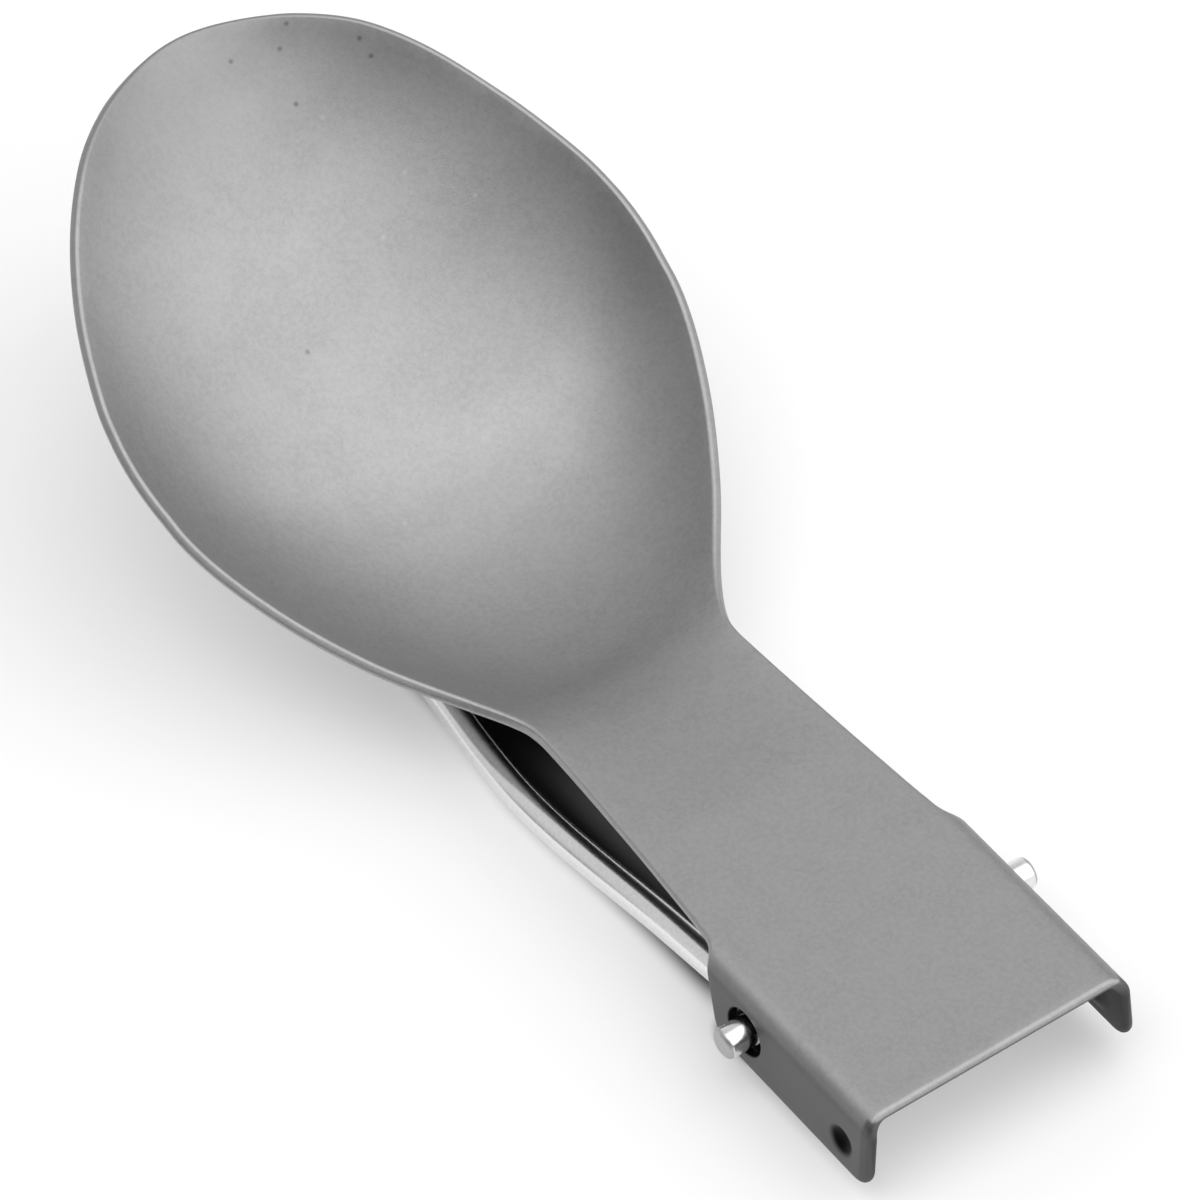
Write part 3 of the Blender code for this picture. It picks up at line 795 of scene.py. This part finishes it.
def blasted_material():
    """Bead-blasted titanium: fine mottling, faint clouds and a few marks, with painted shade on the
    walls, toward the tip, on the tail's cut edge and in the dimples and holes.
    """
    nodes = Nodes("bead_blasted_titanium")
    shader = nodes.shader
    shader.inputs["Metallic"].default_value = 1.0
    clouds = nodes.ramp(nodes.noise(*CLOUD_NOISE), *CLOUD_STRETCH, 0.0, 1.0)
    colour = nodes.mix_colour(clouds, *CLOUD_COLOURS)
    for noise, stretch, share, tone in LAYERS:
        layer = nodes.ramp(nodes.noise(*noise), *stretch, 0.0, share)
        colour = nodes.mix_colour(layer, colour, tone)
    for along, side, tone in MARKS:
        patch = nodes.near((along, side, sheet_height(along, abs(side))), *MARK_FADE)
        colour = nodes.mix_colour(patch, colour, tone)

    place, away, height = nodes.axes()
    drop = nodes.math("MULTIPLY", height, -1.0)
    # Painted shade toward the tip of the bowl
    tip_shade = nodes.ramp(place, *TIP_SHADE_FADE, 0.0, TIP_SHADE_SHARE)
    colour = nodes.mix_colour(tip_shade, colour, TIP_SHADE_TONE)
    # Painted shade on the folded walls
    folded = nodes.ramp(place, CHANNEL_LENGTH, NECK_PLACE - NECK_LENGTH / 2, WALL_SHADE_SHARE, 0.0)
    wall_shade = nodes.math("MULTIPLY", nodes.ramp(drop, *WALL_SHADE_FADE, 0.0, 1.0), folded)
    colour = nodes.mix_colour(wall_shade, colour, WALL_SHADE_TONE)
    # Painted shade on the lower half of the tail's cut edge
    cut = nodes.math("MULTIPLY", nodes.ramp(drop, *CUT_SHADE_FADE, 0.0, CUT_SHADE_SHARE),
                     nodes.ramp(place, *CUT_SHADE_LENGTH, 1.0, 0.0))
    colour = nodes.mix_colour(cut, colour, CUT_SHADE_TONE)
    # Painted shade on the inside of the walls
    inner = nodes.math("MULTIPLY", wall_shade, nodes.ramp(away, *WALL_INSIDE, INSIDE_SHADE_SHARE, 0.0))
    inner = nodes.math("MULTIPLY", inner, nodes.ramp(drop, *PLATE_UNDERSIDE, 0.0, 1.0))
    colour = nodes.mix_colour(inner, colour, INSIDE_SHADE_TONE)
    # Painted shade in the dimples and in the bores of the pivot holes
    for along, depth, inward, fade in RECESS_SHADES:
        side = wall_face(depth) - inward
        for direction in (1, -1):
            recess_shade = nodes.near((along, side * direction, -depth), *fade)
            colour = nodes.mix_colour(recess_shade, colour, RECESS_SHADE_TONE)
    nodes.link(colour, shader.inputs["Base Color"])
    nodes.link(nodes.ramp(clouds, 0.0, 1.0, *CLOUD_ROUGHNESS), shader.inputs["Roughness"])
    nodes.link(nodes.bump(nodes.noise(*GRAIN_NOISE), GRAIN_HEIGHT), shader.inputs["Normal"])
    return nodes.material


def rod_material():
    """Drawn and tumbled titanium rod: bright and smooth, with dull cut ends, and painted shade where
    it runs inside the walls.
    """
    nodes = Nodes("tumbled_titanium_rod")
    shader = nodes.shader
    shader.inputs["Metallic"].default_value = 1.0
    grain = nodes.noise(*ROD_NOISE)
    colour = nodes.mix_colour(nodes.ramp(grain, *ROD_STRETCH, 0.0, 1.0), *ROD_TONES)
    away = nodes.axes()[1]
    cut = nodes.ramp(away, *PIN_CUT, 0.0, 1.0)
    colour = nodes.mix_colour(cut, colour, PIN_CUT_TONE)
    # Painted shade on the rod inside each wall at the joint
    for (ahead, side, above), fade in JOINT_SHADES:
        for direction in (1, -1):
            patch = nodes.near((ahead, side * direction, above), *fade)
            colour = nodes.mix_colour(patch, colour, JOINT_SHADE_TONE)
    nodes.link(colour, shader.inputs["Base Color"])
    roughness = nodes.math("ADD", nodes.ramp(grain, *ROD_STRETCH, *ROD_ROUGHNESS),
                           nodes.math("MULTIPLY", cut, PIN_CUT_ROUGHNESS))
    nodes.link(roughness, shader.inputs["Roughness"])
    nodes.link(nodes.bump(grain, ROD_GRAIN_HEIGHT), shader.inputs["Normal"])
    return nodes.material


def floor_material():
    """Pale floor, in deep shade between the handle's legs and under the pivot holes."""
    nodes = Nodes("pale_floor")
    shader = nodes.shader
    shader.inputs["Roughness"].default_value = FLOOR_ROUGHNESS
    shader.inputs["Specular IOR Level"].default_value = 0.0
    place, away, _ = nodes.axes()
    behind = nodes.ramp(place, *SHADE_REAR, 0.0, 1.0)
    ahead = nodes.ramp(place, *SHADE_FRONT, 1.0, 0.0)
    shade = nodes.math("MULTIPLY", nodes.math("MULTIPLY", behind, ahead),
                       nodes.ramp(away, *SHADE_SIDE, 1.0, 0.0))
    for along, side in HINGE_SHADES:
        for direction in (1, -1):
            spot = nodes.near((along, side * direction, 0.0), *HINGE_SHADE_FADE)
            shade = nodes.math("MAXIMUM", shade, spot)
    turn = nodes.math("MULTIPLY", nodes.ramp(place, *SHADE_TURN_ALONG, 1.0, 0.0),
                      nodes.ramp(away, *SHADE_TURN_ACROSS, 1.0, 0.0))
    deep = nodes.mix_colour(turn, SHADE_TONE, SHADE_MIDDLE_TONE)
    nodes.link(nodes.mix_colour(shade, FLOOR_TONE, deep), shader.inputs["Base Color"])
    path = nodes.add("ShaderNodeLightPath")
    seen = nodes.math("MAXIMUM", path.outputs["Is Camera Ray"], path.outputs["Is Glossy Ray"])
    seen = nodes.math("MAXIMUM", seen, path.outputs["Is Transmission Ray"])
    lift = nodes.math("MULTIPLY", seen, nodes.ramp(shade, 0.0, 1.0, FLOOR_LIFT, 0.0))
    white = nodes.add("ShaderNodeEmission")
    blend = nodes.add("ShaderNodeMixShader")
    nodes.link(lift, blend.inputs[0])
    nodes.link(shader.outputs[0], blend.inputs[1])
    nodes.link(white.outputs[0], blend.inputs[2])
    nodes.link(blend.outputs[0], nodes.tree.nodes["Material Output"].inputs["Surface"])
    return nodes.material


# Stage
def make_floor():
    shape = bmesh.new()
    bmesh.ops.create_grid(shape, x_segments=1, y_segments=1, size=FLOOR_SIZE / 2)
    mesh = bpy.data.meshes.new("floor")
    shape.to_mesh(mesh)
    shape.free()
    floor = add_object("floor", mesh)
    mesh.materials.append(floor_material())


def make_world():
    """Studio walls: a dim graded sky, two broad soft glows and a pale horizon."""
    world = bpy.data.worlds.new("studio")
    world.use_nodes = True
    bpy.context.scene.world = world
    tree = world.node_tree
    direction = tree.nodes.new("ShaderNodeTexCoord").outputs["Generated"]

    def along(vector):
        node = tree.nodes.new("ShaderNodeVectorMath")
        node.operation = "DOT_PRODUCT"
        node.inputs[1].default_value = vector
        tree.links.new(direction, node.inputs[0])
        return node.outputs["Value"]

    def faded(value, band, start, end):
        node = tree.nodes.new("ShaderNodeMapRange")
        node.interpolation_type = "SMOOTHSTEP"
        for name, level in zip(("From Min", "From Max", "To Min", "To Max"), (*band, start, end)):
            node.inputs[name].default_value = level
        tree.links.new(value, node.inputs["Value"])
        return node.outputs["Result"]

    def combined(operation, first, second):
        node = tree.nodes.new("ShaderNodeMath")
        node.operation = operation
        tree.links.new(first, node.inputs[0])
        if isinstance(second, float):
            node.inputs[1].default_value = second
        else:
            tree.links.new(second, node.inputs[1])
        return node.outputs["Value"]

    sky = combined("ADD", along(SKY_SLOPE), SKY_LEVEL)
    level = combined("MAXIMUM", sky, SKY_LEAST)
    for toward, strength, band in GLOWS:
        level = combined("ADD", level, faded(along(toward.normalized()), band, 0.0, strength))
    horizon = faded(along(Vector((0.0, 0.0, 1.0))), HORIZON_BAND, HORIZON_LEVEL, 0.0)
    level = combined("MAXIMUM", level, horizon)
    background = tree.nodes["Background"]
    background.inputs["Color"].default_value = (1.0, 1.0, 1.0, 1.0)
    tree.links.new(level, background.inputs["Strength"])


def make_key_light():
    light = bpy.data.lights.new("softbox", "AREA")
    light.shape = "DISK"
    light.size = KEY_SIZE
    light.energy = KEY_POWER
    item = bpy.data.objects.new("softbox", light)
    bpy.context.scene.collection.objects.link(item)
    direction = KEY_DIRECTION.normalized()
    item.location = direction * KEY_DISTANCE
    item.visible_camera = False
    item.rotation_mode = "QUATERNION"
    item.rotation_quaternion = direction.to_track_quat("Z", "Y")


def make_camera():
    """Camera behind and to the left, with the photograph's lens and framing."""
    toward = Vector((-math.cos(CAMERA_RISE) * math.cos(CAMERA_TURN),
                     math.cos(CAMERA_RISE) * math.sin(CAMERA_TURN),
                     math.sin(CAMERA_RISE)))
    right = (-toward).cross(Vector((0.0, 0.0, 1.0))).normalized()
    up = right.cross(-toward)
    turned_right = right * math.cos(CAMERA_ROLL) + up * math.sin(CAMERA_ROLL)
    turned_up = up * math.cos(CAMERA_ROLL) - right * math.sin(CAMERA_ROLL)
    camera = bpy.data.cameras.new("camera")
    camera.sensor_width = SENSOR_WIDTH
    camera.lens = FOCAL_PIXELS / PHOTO_SIZE * SENSOR_WIDTH
    camera.shift_x = (PHOTO_SIZE / 2 - AIM_PIXEL[0]) / PHOTO_SIZE
    camera.shift_y = (AIM_PIXEL[1] - PHOTO_SIZE / 2) / PHOTO_SIZE
    item = bpy.data.objects.new("camera", camera)
    bpy.context.scene.collection.objects.link(item)
    axes = Matrix((turned_right, turned_up, toward)).transposed()
    item.matrix_world = Matrix.Translation(AIM + toward * CAMERA_DISTANCE) @ axes.to_4x4()
    bpy.context.scene.camera = item


def main():
    make_camera()
    make_key_light()
    make_world()
    make_floor()
    head = make_head(blasted_material())
    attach(head, "head")
    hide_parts("spoon_head")
    rod = make_handle(rod_material())
    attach(rod, "handle")
    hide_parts("wire_handle")
    bpy.context.scene.view_settings.view_transform = "Standard"


main()
bpy.context.view_layer.update()
